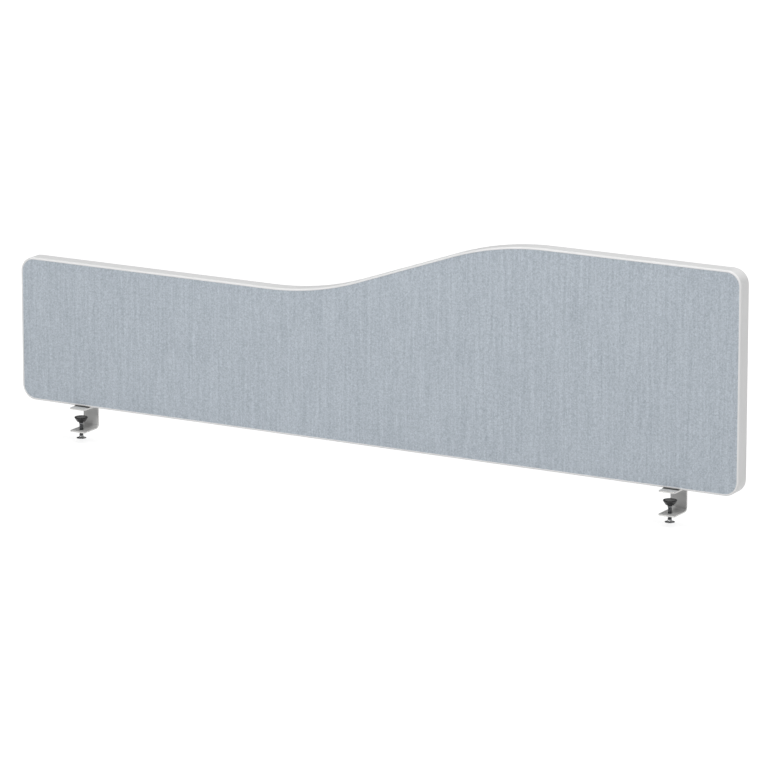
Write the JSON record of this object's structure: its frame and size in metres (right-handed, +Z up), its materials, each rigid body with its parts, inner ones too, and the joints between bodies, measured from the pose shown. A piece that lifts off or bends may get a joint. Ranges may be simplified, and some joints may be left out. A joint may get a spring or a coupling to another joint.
{
  "type": "desk privacy panel",
  "caption": "Wave-topped fabric privacy panel with pale edge trim, standing on the back edge of a desk on C clamps with screw-driven pressure pads.",
  "frame": {"origin": "mid-length, on the desk's back edge (inner faces of the clamp spines), at the desk's top surface (undersides of the upper clamp flanges)", "axes": "+X to the right of the person at the desk, along the panel; +Y away from that person; +Z up"},
  "size_m": [1.6, 0.054, 0.4969],
  "materials": {
    "core": "raw chipboard",
    "foam": "soft open-cell foam, hidden",
    "fabric": "heathered grey-blue woven cloth",
    "trim": "pale grey satin PVC",
    "insert": "machined",
    "bracket": "silver-grey powder coat, satin",
    "spacer": "matte black",
    "fixing": "zinc plated",
    "screw": "black oxide M8 thread",
    "collar": "bright zinc",
    "ring": "spring steel",
    "pad": "black moulded plastic",
    "facing": "matte black",
    "disc": "bright plated"
  },
  "bodies": {
    "panel": {"core_board": "core", "front_foam": "foam", "rear_foam": "foam", "front_fabric": "fabric", "rear_fabric": "fabric", "edge_trim": "trim", "left_threaded_inserts": "insert", "left_clamp_bracket": "bracket", "left_spacer_pad": "spacer", "left_bracket_screws": "fixing", "right_threaded_inserts": "insert", "right_clamp_bracket": "bracket", "right_spacer_pad": "spacer", "right_bracket_screws": "fixing"},
    "left_pad": {"left_pressure_pad": "pad", "left_pad_facing": "facing"},
    "left_screw": {"left_clamp_screw": "screw", "left_thrust_collar": "collar", "left_snap_ring": "ring", "left_thumb_disc": "disc"},
    "right_pad": {"right_pressure_pad": "pad", "right_pad_facing": "facing"},
    "right_screw": {"right_clamp_screw": "screw", "right_thrust_collar": "collar", "right_snap_ring": "ring", "right_thumb_disc": "disc"}
  },
  "joints": [
    {"name": "left_pad_slide", "type": "slide", "parent": "panel", "child": "left_pad", "axis": [0, 0, 1], "range_m": [-0.012, 0.00625]},
    {"name": "left_screw_turn", "type": "hinge", "parent": "left_pad", "child": "left_screw", "pos_m": [-0.659, -0.0355, -0.033], "axis": [0, 0, 1], "range_deg": [-3456, 1800]},
    {"name": "right_pad_slide", "type": "slide", "parent": "panel", "child": "right_pad", "axis": [0, 0, 1], "range_m": [-0.012, 0.00625]},
    {"name": "right_screw_turn", "type": "hinge", "parent": "right_pad", "child": "right_screw", "pos_m": [0.659, -0.0355, -0.033], "axis": [0, 0, 1], "range_deg": [-3456, 1800]}
  ],
  "couplings": [
    {"joint": "left_pad_slide", "follows": "left_screw_turn", "m_per_rad": 0.00019894},
    {"joint": "right_pad_slide", "follows": "right_screw_turn", "m_per_rad": 0.00019894}
  ]
}
